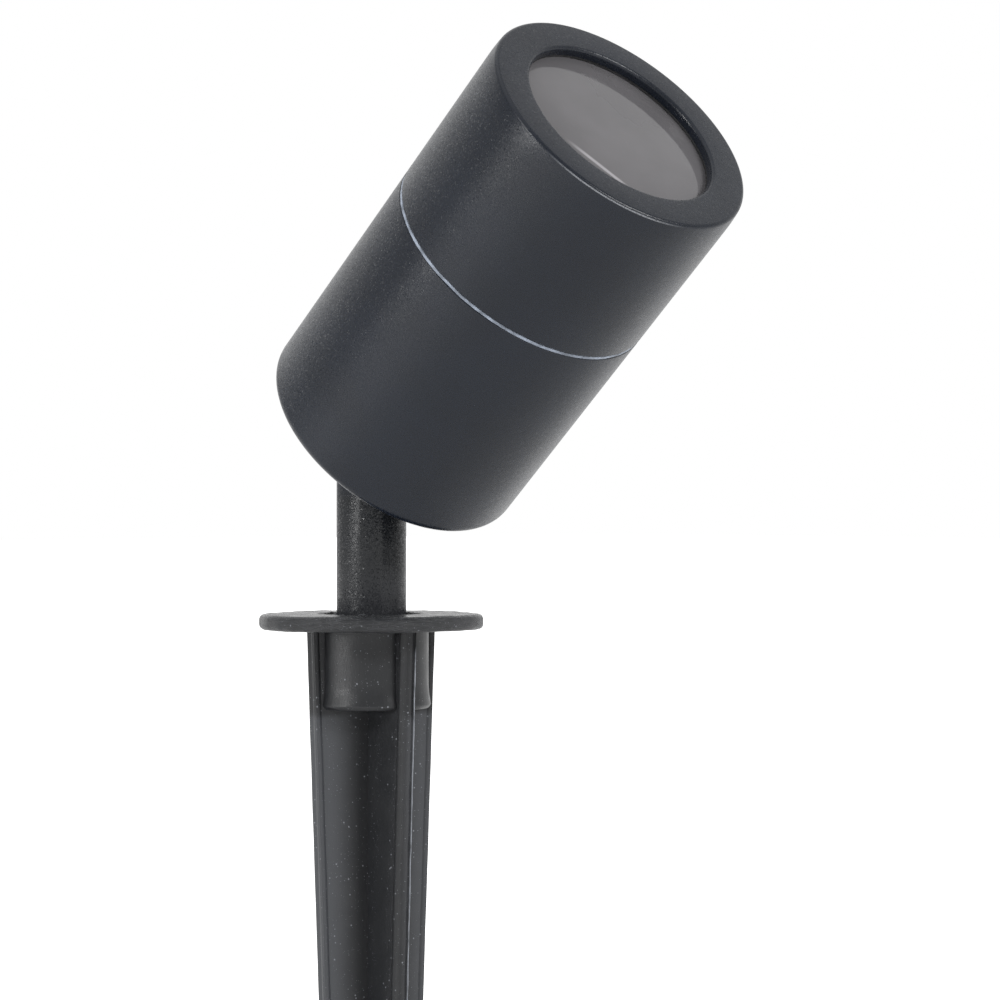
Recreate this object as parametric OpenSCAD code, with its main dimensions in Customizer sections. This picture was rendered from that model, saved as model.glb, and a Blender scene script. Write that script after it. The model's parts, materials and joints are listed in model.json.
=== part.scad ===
// Garden spike spotlight: a round head that tilts on a post, over a ground disc and a bladed spike.
// Z is up along the post. The origin lies on the post's axis at the underside of the ground disc.
// The head aims towards -Y. Millimetres.

/* [Head] */
// Outside diameter of the head
head_d = 60; // [54:0.5:72]
// Length of the head from its back face to its front face
head_l = 93.8; // [90:0.2:130]
// Distance of the seam behind the front face
seam_back = 38.1; // [32:0.1:44]
// Wall of the rear housing
housing_wall = 2.6; // [2:0.1:2.8]
// Back wall of the rear housing
back_wall = 3; // [2.4:0.1:4]
// Round of the back edge
back_edge_r = 2.5; // [1:0.1:2.6]
// Length of the neck that the bezel screws onto
neck_l = 7; // [6.6:0.1:9]
// Wall of the neck
neck_wall = 1.6; // [1.2:0.1:1.7]
// Thickness of the seam gasket
seam_gasket_t = 0.7; // [0.4:0.1:1.2]

/* [Bezel and lens] */
// Wall of the bezel
bezel_wall = 2.6; // [2:0.1:2.7]
// Thickness of the bezel's front lip
lip_t = 2.1; // [1.5:0.1:3]
// Diameter of the front opening
opening_d = 43.6; // [36:0.1:45]
// Round of the opening's front edge
lip_edge_r = 1.1; // [0.4:0.1:1.4]
// Round of the front edge
front_edge_r = 1.2; // [0.4:0.1:1.8]
// Thickness of the glass
glass_t = 4; // [3:0.1:5]
// Thickness of the rubber over the glass's faces
lens_flap_t = 0.5; // [0.4:0.1:0.8]
// Thickness of the rubber round the glass's edge
lens_rim_t = 1; // [0.7:0.1:1.4]
// Reach of the rubber over the glass's faces
lens_flap_w = 4.4; // [3:0.1:5]

/* [Tilt joint] */
// Tilt of the head's axis from straight up, in degrees
tilt = 48.85; // [0:0.05:90]
// Height of the pivot above the top of the ground disc
pivot_h = 33.5; // [31.5:0.1:60]
// Gap between the fork's round top and the flange at the head's back
fork_gap = 0.73; // [0.3:0.01:5]
// Thickness of the tongue
tongue_t = 4.9; // [3.5:0.1:5.2]
// Radius of the tongue's round end
tongue_r = 6.5; // [5:0.1:6.8]
// Depth of the fork's slot below the pivot
slot_depth = 9; // [8:0.1:12]
// Thickness of each friction washer
tilt_washer_t = 0.5; // [0.3:0.1:0.6]
// Radius of the friction washers
tilt_washer_r = 6; // [4.5:0.1:6.4]
// Diameter of the pivot screw
tilt_screw_d = 4; // [3:0.5:4]
// Radius of the flange at the tongue's root
lug_flange_r = 8; // [6.5:0.1:8.5]
// Thickness of that flange
lug_flange_t = 1.5; // [1.2:0.1:1.6]
// Diameter of the threaded root that passes the back wall
lug_root_d = 10; // [8:0.5:10]

/* [Stem] */
// Diameter of the stem
stem_d = 15.34; // [15:0.02:15.8]
// Depth that the stem enters below the ground disc's underside
stem_sink = 3; // [1:0.1:3.4]
// Diameter of the bolt that holds the adaptor to the stem
adaptor_bolt_d = 8; // [5:0.5:8]
// Length of that bolt's thread in the stem
adaptor_bolt_grip = 13; // [8:0.5:16]

/* [Spike] */
// Diameter of the ground disc
disc_d = 49.3; // [40:0.1:70]
// Thickness of the ground disc
disc_t = 3.4; // [2.6:0.1:5]
// Round of the ground disc's rim
disc_edge_r = 1.3; // [0.5:0.1:1.3]
// Diameter of the socket's bore
socket_d = 22; // [21:0.1:22.6]
// Outside diameter of the socket's boss
boss_d = 25.2; // [24.8:0.1:28]
// Depth of the boss below the disc's underside
boss_l = 17.4; // [16.6:0.1:24]
// How far the boss's bottom lip flares out
boss_flare = 0.5; // [0.2:0.1:1]
// Thickness of the boss's floor
boss_floor_t = 1.6; // [1.2:0.1:2.4]
// Radius of the blades at the ground disc
blade_top_r = 15.3; // [14:0.1:18]
// Radius of the blades where the point starts
blade_low_r = 11.7; // [9:0.1:13.5]
// Length of the blades above the point
blade_l = 100; // [60:1:160]
// Length of the point
point_l = 60; // [30:1:90]
// Thickness of the bead along each blade's edge
bead_t = 3.8; // [3:0.1:4.4]
// Thickness of a blade at the spike's axis
web_root_t = 4.8; // [4.5:0.1:6]
// Thickness of a blade beside its bead
web_tip_t = 3; // [2:0.1:3]
// Width of that bead where the point starts
bead_w = 1.6; // [1:0.1:3]
// Turn of the blades about the stem, in degrees
blade_turn = -11.6; // [-45:0.1:45]

/* [Cord gland] */
// Diameter of the cord that the seal takes
cord_d = 6.4; // [5:0.1:7]
// Diameter of the gland's thread
gland_d = 12; // [11.5:0.1:12.5]
// Width across the gland's flats
gland_flats = 15; // [14.4:0.1:15.4]
// Length of the gland's clamping cap
gland_cap_l = 10; // [8:0.1:12]

/* [Lamp] */
// Gap between the lamp and the neck's bore
lamp_side_gap = 0.75; // [0.4:0.05:3]
// Length of the lamp without its pins
lamp_l = 46; // [42:0.1:48]
// Gap between the glass's rubber and the lamp
lamp_gap = 1.5; // [1:0.1:3]
// Distance between the two pins
pin_pitch = 10; // [9.5:0.1:10.5]
// Diameter of a pin's head
pin_head_d = 4.8; // [4.2:0.1:5]
// Diameter of a pin's shank
pin_d = 3; // [2.4:0.1:3.2]
// Length of a pin
pin_l = 7.5; // [6:0.1:8]
// Turn that frees the lamp, in degrees
lamp_turn = 20; // [12:1:24]
// Thickness of the lampholder
holder_t = 16; // [14:0.1:18]
// Thickness of the lampholder's bracket
bracket_t = 1.2; // [1:0.1:1.6]

/* [Fits] */
// Radial gap of a turning fit
turn_gap = 0.05; // [0.02:0.01:0.09]
// Radial gap of a screwed or set fit
set_gap = 0.05; // [0.02:0.01:0.1]
// Gap between faces that slide or part
face_gap = 0.05; // [0.02:0.01:0.1]

/* [Hidden] */
$fn = 96;

// Heights in the row frame
disc_top = disc_t;
pivot_z = disc_top + pivot_h;
adaptor_floor_t = 2.5;
adaptor_bottom = -stem_sink - adaptor_floor_t;
adaptor_top = disc_top - 2;
adaptor_r = socket_d / 2 - turn_gap;
socket_ledge = 1;
bolt_washer_t = 0.8;
bolt_head_r = adaptor_bolt_d * 0.81;
bolt_head_l = adaptor_bolt_d * 0.6;
stem_r = stem_d / 2;
ear_r = stem_r - 0.2;
slot_half = tongue_t / 2 + turn_gap + tilt_washer_t;
pivot_back = ear_r + fork_gap + lug_flange_t;

// The pivot screw, with its head in one ear and its nut in the other
ear_web = 1.6;
screw_head_r = tilt_screw_d * 0.85;
screw_head_l = tilt_screw_d * 0.6;
screw_head_x = slot_half + ear_web;
screw_head_room = 0.15;
tilt_nut_flats = tilt_screw_d * 1.75;
tilt_nut_x = slot_half + ear_web;
tilt_nut_t = 2.6;

// The spike's flared lip, drain hole and point
lip_foot_l = 0.8;
lip_foot_in = 0.2;
lip_slope_l = 3.2;
drain_r = 1.4;
drain_at = 6.4;
tip_r = 1.2;
bead_root_l = 0.8;

// Width across the lug nut's flats and radius of the lug's seal, as shares of the lug's thread
nut_share = 1.6;
seal_share = 0.78;

// Heights along the head's axis, measured from the pivot
head_r = head_d / 2;
back_z = pivot_back;
floor_z = back_z + back_wall;
front_z = back_z + head_l;
seam_z = front_z - seam_back;
housing_end = seam_z - seam_gasket_t / 2;
bezel_start = seam_z + seam_gasket_t / 2 + face_gap;
bore_r = head_r - housing_wall;
bezel_bore_r = head_r - bezel_wall;
neck_r = bezel_bore_r - turn_gap;
neck_bore_r = neck_r - neck_wall;
neck_root_l = 4;
lip_back = front_z - lip_t;
lens_front = lip_back - face_gap - lens_flap_t;
lens_back = lens_front - glass_t;
lens_gasket_back = lens_back - lens_flap_t;
lens_gasket_r = bezel_bore_r - 2 * turn_gap;
glass_r = lens_gasket_r - lens_rim_t;
lens_flap_r = glass_r - lens_flap_w;

// The lamp and its holder, along the same axis
lamp_r = neck_bore_r - lamp_side_gap;
lamp_front = lens_gasket_back - lamp_gap;
lamp_foot = lamp_front - lamp_l;
diffuser_t = 3;
rim_l = 8;
board_t = 1.6;
board_back = lamp_front - rim_l - 1.2;
base_l = 11;
base_top = lamp_foot + base_l;
shell_foot_r = 15;
base_r = 12.5;
base_nose_r = 8.2;
base_nose_l = 3;
holder_top = lamp_foot - 0.3;
holder_bottom = holder_top - holder_t;
holder_w = 31;
holder_d = 18;
pin_shank_l = 4;
pin_end = lamp_foot - pin_l;
slot_room = 0.25;
contact_t = 3;
bracket_top = holder_bottom;
bracket_half_w = 18.2;
bracket_half_d = 6;
foot_l = 6.6;
foot_screw_x = bracket_half_w + 3.4;
holder_screw_x = holder_w / 2 - 4;
tail_r = 1;
lead_r = 0.9;
lead_bend = 2.2;
lead_grip = 3;
tail_l = 1.5;
tail_z = bracket_top - bracket_t - tail_l;
tail_hole_r = 2.2;
terminal_pitch = pin_pitch / 2;
terminal_screw_r = 1.25;
terminal_screw_l = 1.1;
block_d = 10;
block_gap = 0.3;
block_near = -lug_root_d * nut_share / 2 - block_gap;
block_far = block_near - block_d;
block_half_w = terminal_pitch * 1.5;
small_screw_r = 1.5;
small_head_r = 2.7;
small_head_l = 1.8;
small_screw_bite = 1.8;
holder_screw_bite = 7.5;

// The earth screw stands beside the terminal block, its head this far from the bore
earth_gap = 1.1;
earth_y = (block_near + block_far) / 2;
earth_x = sqrt(pow(bore_r - small_head_r - earth_gap, 2) - pow(earth_y, 2));

// The lamp's lights and driver
led_at = 10.5;
led_w = 3.5;
led_t = 0.8;
driver_w = 16;
driver_t = 1.6;
choke_w = 9;
choke_t = 5;
choke_up = 4;
capacitor_r = 4;
capacitor_l = 9;
capacitor_up = 10;
capacitor_gap = 1;
capacitor_foot_w = 3;
capacitor_x = -driver_t / 2 - capacitor_gap - capacitor_r;

// The threaded parts in the back wall
lug_seal_t = 1;
lug_nut_t = 4;
lug_root_out = 1;
lug_nut_flats = lug_root_d * nut_share;
lug_root_end = floor_z + lug_seal_t + lug_nut_t + lug_root_out;
gland_r = gland_d / 2;
gland_body_l = 5;
gland_thread_l = 4;
gland_seal_l = 7;
gland_seal_out = 1;
gland_seal_z = -gland_body_l - gland_thread_l - gland_seal_out;
gland_cap_play = 0.2;
gland_cap_hex_l = 6;
gland_cap_nose = 1.2;
cap_bore_l = gland_thread_l + gland_seal_out;
cord_slack = 0.3;
gland_nut_t = 4;
gland_in_l = floor_z + gland_nut_t + 1 - back_z;
cord_r = cord_d / 2;
seal_r = gland_r - 1.4;

// The leads pass over the end of the lug's root
lead_gap = 0.7;
lead_z = lug_root_end + lead_gap + lead_r;
block_h = lead_z - floor_z + lead_r + 1.5;

// The gland stands midway between the lug's nut and the point where its own nut would meet the bore
gland_far = sqrt(pow(bore_r, 2) - pow(gland_flats / 2 * tan(30), 2));
gland_offset = (lug_nut_flats / 2 + gland_far) / 2;

function hex_r(flats) = flats / 2 / cos(30);

module in_head() {
    translate([0, 0, pivot_z]) rotate([tilt, 0, 0]) children();
}

module hex_prism(flats, h, hole_r) {
    difference() {
        cylinder(r = hex_r(flats), h = h, $fn = 6);
        translate([0, 0, -1]) cylinder(r = hole_r, h = h + 2);
    }
}

module ring(outer_r, inner_r, h) {
    difference() {
        cylinder(r = outer_r, h = h);
        translate([0, 0, -1]) cylinder(r = inner_r, h = h + 2);
    }
}

// Half outline of a round block from z = 0 to h, with its outer corner rounded at the foot
module foot_round_outline(r, h, edge_r) {
    square([r - edge_r, h]);
    translate([0, edge_r]) square([r, h - edge_r]);
    translate([r - edge_r, edge_r]) circle(r = edge_r);
}

// Arc-shaped slot about the Z axis, as wide as twice half_w, from angle 0 to sweep
module arc_slot(mid_r, half_w, h, sweep) {
    rotate_extrude(angle = sweep) translate([mid_r - half_w, 0]) square([2 * half_w, h]);
    translate([mid_r, 0, 0]) cylinder(r = half_w, h = h, $fn = 48);
    rotate([0, 0, sweep]) translate([mid_r, 0, 0]) cylinder(r = half_w, h = h, $fn = 48);
}

// Socket head screw pointing to +Z, its head below z = 0
module cap_screw(d, l, head_r, head_l, key_flats) {
    difference() {
        union() {
            translate([0, 0, -head_l]) cylinder(r = head_r, h = head_l);
            cylinder(r = d / 2, h = l);
        }
        translate([0, 0, -head_l - 1]) cylinder(r = hex_r(key_flats), h = head_l * 0.6 + 1, $fn = 6);
    }
}

// Small slotted pan head screw pointing to -Z, its head above z = 0
module pan_screw(l) {
    difference() {
        union() {
            cylinder(r = small_head_r, h = small_head_l);
            translate([0, 0, -l]) cylinder(r = small_screw_r, h = l + 0.1);
        }
        translate([-small_head_r - 1, -0.35, small_head_l * 0.55])
            cube([2 * small_head_r + 2, 0.7, small_head_l]);
    }
}

// Section of one blade: a web that thins outwards, and a bead along its edge
module blade_section() {
    bead_in = blade_low_r - bead_w;
    thin_r = bead_in - bead_root_l;
    over_r = blade_top_r + 1;
    polygon([[0, -web_root_t / 2], [web_root_t / 2, -web_root_t / 2], [thin_r, -web_tip_t / 2],
        [bead_in, -bead_t / 2], [over_r, -bead_t / 2], [over_r, bead_t / 2], [bead_in, bead_t / 2],
        [thin_r, web_tip_t / 2], [web_root_t / 2, web_root_t / 2], [0, web_root_t / 2]]);
}

module blade_envelope() {
    translate([0, 0, -blade_l]) cylinder(r1 = blade_low_r, r2 = blade_top_r, h = blade_l + 0.5);
    translate([0, 0, -blade_l - point_l]) cylinder(r1 = tip_r, r2 = blade_low_r, h = point_l);
}

module ground_spike() {
    color("#36383a") difference() {
        union() {
            rotate_extrude() {
                square([disc_d / 2 - disc_edge_r, disc_t]);
                translate([0, disc_edge_r]) square([disc_d / 2, disc_t - 2 * disc_edge_r]);
                for (y = [disc_edge_r, disc_t - disc_edge_r])
                    translate([disc_d / 2 - disc_edge_r, y]) circle(r = disc_edge_r, $fn = 48);
            }
            translate([0, 0, -boss_l]) cylinder(r = boss_d / 2, h = boss_l + 1);
            translate([0, 0, lip_foot_l - boss_l])
                cylinder(r1 = boss_d / 2 + boss_flare, r2 = boss_d / 2, h = lip_slope_l);
            translate([0, 0, -boss_l])
                cylinder(r1 = boss_d / 2 - lip_foot_in, r2 = boss_d / 2 + boss_flare, h = lip_foot_l);
            intersection() {
                translate([0, 0, -blade_l - point_l]) linear_extrude(height = blade_l + point_l + 0.5)
                    for (k = [0 : 3]) rotate(blade_turn + 90 * k) blade_section();
                blade_envelope();
            }
        }
        translate([0, 0, adaptor_bottom]) cylinder(r = socket_d / 2, h = disc_top - adaptor_bottom + 1);
        translate([0, 0, -boss_l + boss_floor_t])
            cylinder(r = socket_d / 2 - socket_ledge, h = boss_l + 1 - boss_floor_t);
        rotate([0, 0, blade_turn + 45]) translate([drain_at, 0, -boss_l - 1])
            cylinder(r = drain_r, h = boss_floor_t + 2, $fn = 48);
    }
}

module socket_adaptor() {
    color("#2b2c2e") difference() {
        translate([0, 0, adaptor_bottom]) cylinder(r = adaptor_r, h = adaptor_top - adaptor_bottom);
        translate([0, 0, -stem_sink]) cylinder(r = stem_r + set_gap, h = disc_top + stem_sink);
        translate([0, 0, adaptor_bottom - 1])
            cylinder(r = adaptor_bolt_d / 2 + set_gap, h = adaptor_floor_t + 2);
    }
}

module adaptor_bolt() {
    color("#b9bcc0") translate([0, 0, adaptor_bottom - bolt_washer_t])
        cap_screw(adaptor_bolt_d, bolt_washer_t + adaptor_floor_t + adaptor_bolt_grip,
            bolt_head_r, bolt_head_l, adaptor_bolt_d * 0.7);
}

module adaptor_washer() {
    color("#a9acb0") translate([0, 0, adaptor_bottom - bolt_washer_t])
        ring(bolt_head_r + 0.6, adaptor_bolt_d / 2 + set_gap, bolt_washer_t);
}

module across_pivot(x) {
    translate([x, 0, pivot_z]) rotate([0, 90, 0]) children();
}

module stem() {
    color("#3f4245") difference() {
        union() {
            translate([0, 0, -stem_sink]) cylinder(r = stem_r, h = pivot_z + stem_sink);
            intersection() {
                translate([0, 0, pivot_z - 1]) cylinder(r = stem_r, h = ear_r + 2);
                across_pivot(-stem_r) cylinder(r = ear_r, h = stem_d);
            }
        }
        translate([-slot_half, -stem_d, pivot_z - slot_depth])
            cube([2 * slot_half, 2 * stem_d, slot_depth + stem_d]);
        across_pivot(-stem_d) cylinder(r = tilt_screw_d / 2 + turn_gap, h = 2 * stem_d);
        across_pivot(-screw_head_x - stem_d) cylinder(r = screw_head_r + screw_head_room, h = stem_d);
        across_pivot(tilt_nut_x) cylinder(r = hex_r(tilt_nut_flats + 0.2), h = stem_d, $fn = 6);
        translate([0, 0, -stem_sink - 1])
            cylinder(r = adaptor_bolt_d / 2 + set_gap, h = adaptor_bolt_grip + 2);
    }
}

module tilt_screw() {
    color("#8f9296") across_pivot(-screw_head_x)
        cap_screw(tilt_screw_d, screw_head_x + tilt_nut_x + tilt_nut_t, screw_head_r, screw_head_l,
            tilt_screw_d * 0.5);
}

module tilt_nut() {
    color("#8f9296") across_pivot(tilt_nut_x)
        hex_prism(tilt_nut_flats, tilt_nut_t, tilt_screw_d / 2 + set_gap);
}

module tilt_washers() {
    color("#d8d8d2") for (x = [-slot_half, slot_half - tilt_washer_t]) across_pivot(x)
        ring(tilt_washer_r, tilt_screw_d / 2 + turn_gap, tilt_washer_t);
}

module tilt_lug() {
    color("#3f4245") in_head() difference() {
        union() {
            translate([-tongue_t / 2, 0, 0]) rotate([0, 90, 0]) cylinder(r = tongue_r, h = tongue_t);
            translate([-tongue_t / 2, -tongue_r, 0]) cube([tongue_t, 2 * tongue_r, back_z - 0.1]);
            translate([0, 0, back_z - lug_flange_t]) cylinder(r = lug_flange_r, h = lug_flange_t);
            translate([0, 0, back_z - 0.1])
                cylinder(r = lug_root_d / 2, h = lug_root_end - back_z + 0.1);
        }
        translate([-tongue_t, 0, 0]) rotate([0, 90, 0])
            cylinder(r = tilt_screw_d / 2 + turn_gap, h = 2 * tongue_t);
    }
}

module lug_seal() {
    color("#202122") in_head() translate([0, 0, floor_z])
        ring(lug_root_d * seal_share, lug_root_d / 2 + set_gap, lug_seal_t);
}

module lug_nut() {
    color("#b9bcc0") in_head() translate([0, 0, floor_z + lug_seal_t])
        hex_prism(lug_nut_flats, lug_nut_t, lug_root_d / 2 + set_gap);
}

module rear_housing() {
    color("#3f4245") in_head() difference() {
        union() {
            translate([0, 0, back_z]) rotate_extrude()
                foot_round_outline(head_r, housing_end - back_z, back_edge_r);
            translate([0, 0, housing_end - 1]) cylinder(r = neck_r, h = neck_l + 1);
        }
        translate([0, 0, floor_z]) cylinder(r = bore_r, h = housing_end - neck_root_l - floor_z);
        translate([0, 0, floor_z]) cylinder(r = neck_bore_r, h = head_l);
        translate([0, 0, back_z - 1]) cylinder(r = lug_root_d / 2 + set_gap, h = back_wall + 2);
        translate([0, gland_offset, back_z - 1]) cylinder(r = gland_r + set_gap, h = back_wall + 2);
        for (at = [[-foot_screw_x, 0], [foot_screw_x, 0], [earth_x, earth_y]])
            translate([at[0], at[1], floor_z - small_screw_bite - 0.2])
                cylinder(r = small_screw_r + set_gap, h = back_wall, $fn = 48);
    }
}

module seam_gasket() {
    color("#9aa6b6") in_head() translate([0, 0, housing_end])
        ring(head_r - 0.15, neck_r + set_gap, seam_gasket_t);
}

module at_gland(z) {
    in_head() translate([0, gland_offset, z]) children();
}

module cord_gland() {
    color("#232425") at_gland(back_z) difference() {
        union() {
            translate([0, 0, -gland_body_l]) cylinder(r = hex_r(gland_flats), h = gland_body_l, $fn = 6);
            translate([0, 0, -gland_body_l - gland_thread_l]) cylinder(r = gland_r, h = gland_thread_l + 1);
            cylinder(r = gland_r, h = gland_in_l);
        }
        translate([0, 0, gland_seal_z]) cylinder(r = seal_r + set_gap, h = gland_seal_l);
        translate([0, 0, gland_seal_z]) cylinder(r = cord_r + cord_slack, h = gland_in_l - gland_seal_z + 1);
    }
}

module gland_seal() {
    color("#111213") at_gland(back_z + gland_seal_z) ring(seal_r, cord_r, gland_seal_l);
}

module gland_cap() {
    color("#232425") at_gland(back_z - gland_body_l - gland_cap_l) difference() {
        union() {
            translate([0, 0, gland_cap_l - gland_cap_hex_l])
                cylinder(r = hex_r(gland_flats), h = gland_cap_hex_l, $fn = 6);
            cylinder(r1 = gland_r - gland_cap_nose, r2 = gland_r + 1, h = gland_cap_l - cap_bore_l);
        }
        translate([0, 0, gland_cap_l - cap_bore_l - gland_cap_play])
            cylinder(r = gland_r + set_gap, h = gland_cap_l);
        translate([0, 0, -1]) cylinder(r = cord_r + cord_slack, h = gland_cap_l);
    }
}

module gland_locknut() {
    color("#b9bcc0") at_gland(floor_z) hex_prism(gland_flats, gland_nut_t, gland_r + set_gap);
}

module lamp_bracket() {
    color("#b9bcc0") in_head() difference() {
        union() {
            translate([-bracket_half_w, -bracket_half_d, bracket_top - bracket_t])
                cube([2 * bracket_half_w, 2 * bracket_half_d, bracket_t]);
            for (s = [0, 1]) mirror([s, 0, 0]) {
                translate([bracket_half_w - bracket_t, -bracket_half_d, floor_z])
                    cube([bracket_t, 2 * bracket_half_d, bracket_top - floor_z]);
                translate([bracket_half_w - bracket_t, -bracket_half_d, floor_z])
                    cube([foot_l, 2 * bracket_half_d, bracket_t]);
            }
        }
        for (s = [-1, 1]) {
            translate([s * foot_screw_x, 0, floor_z - 1])
                cylinder(r = small_screw_r + set_gap, h = bracket_t + 2, $fn = 48);
            translate([s * holder_screw_x, 0, bracket_top - bracket_t - 1])
                cylinder(r = small_screw_r + set_gap, h = bracket_t + 2, $fn = 48);
            translate([s * pin_pitch / 2, 0, bracket_top - bracket_t - 1])
                cylinder(r = tail_hole_r, h = bracket_t + 2, $fn = 48);
        }
    }
}

module bracket_screws() {
    color("#c9ccd0") in_head() for (s = [-1, 1])
        translate([s * foot_screw_x, 0, floor_z + bracket_t]) pan_screw(bracket_t + small_screw_bite);
}

module lampholder() {
    color("#e9e6dd") in_head() difference() {
        translate([-holder_w / 2, -holder_d / 2, holder_bottom]) cube([holder_w, holder_d, holder_t]);
        for (s = [0, 180]) rotate([0, 0, s]) {
            translate([0, 0, holder_top - pin_shank_l + 1.6])
                arc_slot(pin_pitch / 2, pin_d / 2 + slot_room, pin_shank_l, lamp_turn);
            rotate([0, 0, lamp_turn]) translate([pin_pitch / 2, 0, pin_end - contact_t - face_gap])
                cylinder(r = pin_head_d / 2 + slot_room, h = holder_t, $fn = 48);
            translate([0, 0, pin_end - contact_t - face_gap])
                arc_slot(pin_pitch / 2, pin_head_d / 2 + slot_room,
                    holder_top - pin_shank_l + 1.7 - pin_end + contact_t + face_gap, lamp_turn);
            translate([pin_pitch / 2, 0, holder_bottom - 1])
                cylinder(r = tail_r + set_gap, h = holder_t / 2, $fn = 48);
            translate([holder_screw_x, 0, holder_bottom - 1])
                cylinder(r = small_screw_r + set_gap, h = holder_screw_bite + 1.5, $fn = 48);
        }
    }
}

module lampholder_contacts() {
    color("#c79a4b") in_head() for (s = [0, 180]) rotate([0, 0, s]) {
        translate([0, 0, pin_end - contact_t - face_gap])
            arc_slot(pin_pitch / 2, pin_head_d / 2 + slot_room - set_gap, contact_t, lamp_turn);
        translate([pin_pitch / 2, 0, tail_z])
            cylinder(r = tail_r, h = pin_end - contact_t - tail_z, $fn = 48);
    }
}

module lampholder_screws() {
    color("#c9ccd0") in_head() for (s = [-1, 1])
        translate([s * holder_screw_x, 0, bracket_top - bracket_t]) rotate([180, 0, 0])
            pan_screw(bracket_t + holder_screw_bite);
}

module terminal_block() {
    color("#e4e2da") in_head() difference() {
        translate([-block_half_w, block_far, floor_z])
            cube([2 * block_half_w, block_near - block_far, block_h]);
        for (k = [-1 : 1]) {
            translate([k * terminal_pitch, block_far - 1, lead_z]) rotate([-90, 0, 0])
                cylinder(r = lead_r + set_gap, h = block_near - block_far + 2, $fn = 48);
            translate([k * terminal_pitch, earth_y, lead_z])
                cylinder(r = terminal_screw_r + set_gap, h = block_h, $fn = 48);
        }
    }
}

module terminal_screws() {
    color("#c79a4b") in_head() for (k = [-1 : 1])
        translate([k * terminal_pitch, earth_y, lead_z + lead_r + 0.1]) difference() {
            cylinder(r = terminal_screw_r, h = terminal_screw_l, $fn = 48);
            translate([-terminal_screw_r - 1, -0.2, terminal_screw_l / 2])
                cube([2 * terminal_screw_r + 2, 0.4, terminal_screw_l]);
        }
}

module earth_screw() {
    color("#c79a4b") in_head() translate([earth_x, earth_y, floor_z]) pan_screw(small_screw_bite);
}

// Lead that comes along +X to the origin, bends down and drops
module bent_lead(run_l, drop_l) {
    rotate([0, -90, 0]) cylinder(r = lead_r, h = run_l, $fn = 48);
    translate([0, 0, -lead_bend]) rotate([90, 0, 0])
        rotate_extrude(angle = 90) translate([lead_bend, 0]) circle(r = lead_r, $fn = 48);
    translate([lead_bend, 0, -lead_bend]) mirror([0, 0, 1]) cylinder(r = lead_r, h = drop_l, $fn = 48);
}

// Lead from the terminal block up to a contact's tail
module holder_lead(x) {
    in_head() translate([x, -lead_bend, lead_z]) rotate([0, 0, 90]) mirror([0, 0, 1])
        bent_lead(lead_grip - lead_bend - block_near, tail_z - lead_z - lead_bend);
}

module live_lead() {
    color("#6b4a2f") holder_lead(-pin_pitch / 2);
}

module neutral_lead() {
    color("#3a5f9a") holder_lead(pin_pitch / 2);
}

module earth_lead() {
    color("#7f9a3a") in_head() translate([earth_x - lead_bend, earth_y, lead_z])
        bent_lead(earth_x - lead_bend - block_half_w, lead_z - lead_bend - floor_z - small_head_l);
}

module lens_glass() {
    color("#c4ccd0", 0.5) in_head() translate([0, 0, lens_back]) cylinder(r = glass_r, h = glass_t);
}

module lens_gasket() {
    color("#1d1e1f") in_head() difference() {
        translate([0, 0, lens_gasket_back])
            cylinder(r = lens_gasket_r, h = glass_t + 2 * lens_flap_t);
        translate([0, 0, lens_back]) cylinder(r = glass_r, h = glass_t);
        translate([0, 0, lens_gasket_back - 1]) cylinder(r = lens_flap_r, h = glass_t + 4);
    }
}

// Half outline of the bezel, its front face on y = 0
module bezel_outline() {
    opening_r = opening_d / 2;
    lip_face_w = head_r - front_edge_r - opening_r - lip_edge_r;
    translate([opening_r + lip_edge_r, 0]) square([lip_face_w, lip_t]);
    translate([opening_r, lip_edge_r]) square([lip_edge_r + lip_face_w, lip_t - lip_edge_r]);
    intersection() {
        translate([opening_r + lip_edge_r, lip_edge_r]) circle(r = lip_edge_r);
        square([head_r, lip_t]);
    }
    translate([head_r - front_edge_r, front_edge_r]) circle(r = front_edge_r);
    translate([bezel_bore_r, front_edge_r]) square([bezel_wall, front_z - bezel_start - front_edge_r]);
}

module front_bezel() {
    color("#3f4245") in_head() translate([0, 0, front_z]) mirror([0, 0, 1])
        rotate_extrude() bezel_outline();
}

module lamp_shell() {
    color("#d5d6d6") in_head() difference() {
        union() {
            translate([0, 0, lamp_front - rim_l]) cylinder(r = lamp_r, h = rim_l);
            translate([0, 0, base_top])
                cylinder(r1 = shell_foot_r, r2 = lamp_r, h = lamp_front - rim_l - base_top);
        }
        translate([0, 0, lamp_front - diffuser_t]) cylinder(r = lamp_r - 1.2, h = diffuser_t + 1);
        translate([0, 0, board_back]) cylinder(r = lamp_r - 3, h = rim_l + 2);
        translate([0, 0, base_top - 1]) cylinder(r = shell_foot_r - 3, h = board_back - base_top + 2);
    }
}

module lamp_diffuser() {
    color("#dcdcdc") in_head() translate([0, 0, lamp_front - diffuser_t])
        cylinder(r = lamp_r - 1.2 - set_gap, h = diffuser_t);
}

module lamp_board() {
    color("#f0efe8") in_head() translate([0, 0, board_back])
        cylinder(r = lamp_r - 3 - set_gap, h = board_t);
}

module lamp_leds() {
    color("#e8c84a") in_head() for (k = [0 : 5]) rotate([0, 0, 60 * k])
        translate([led_at, -led_w / 2, board_back + board_t]) cube([led_w, led_w, led_t]);
}

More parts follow.
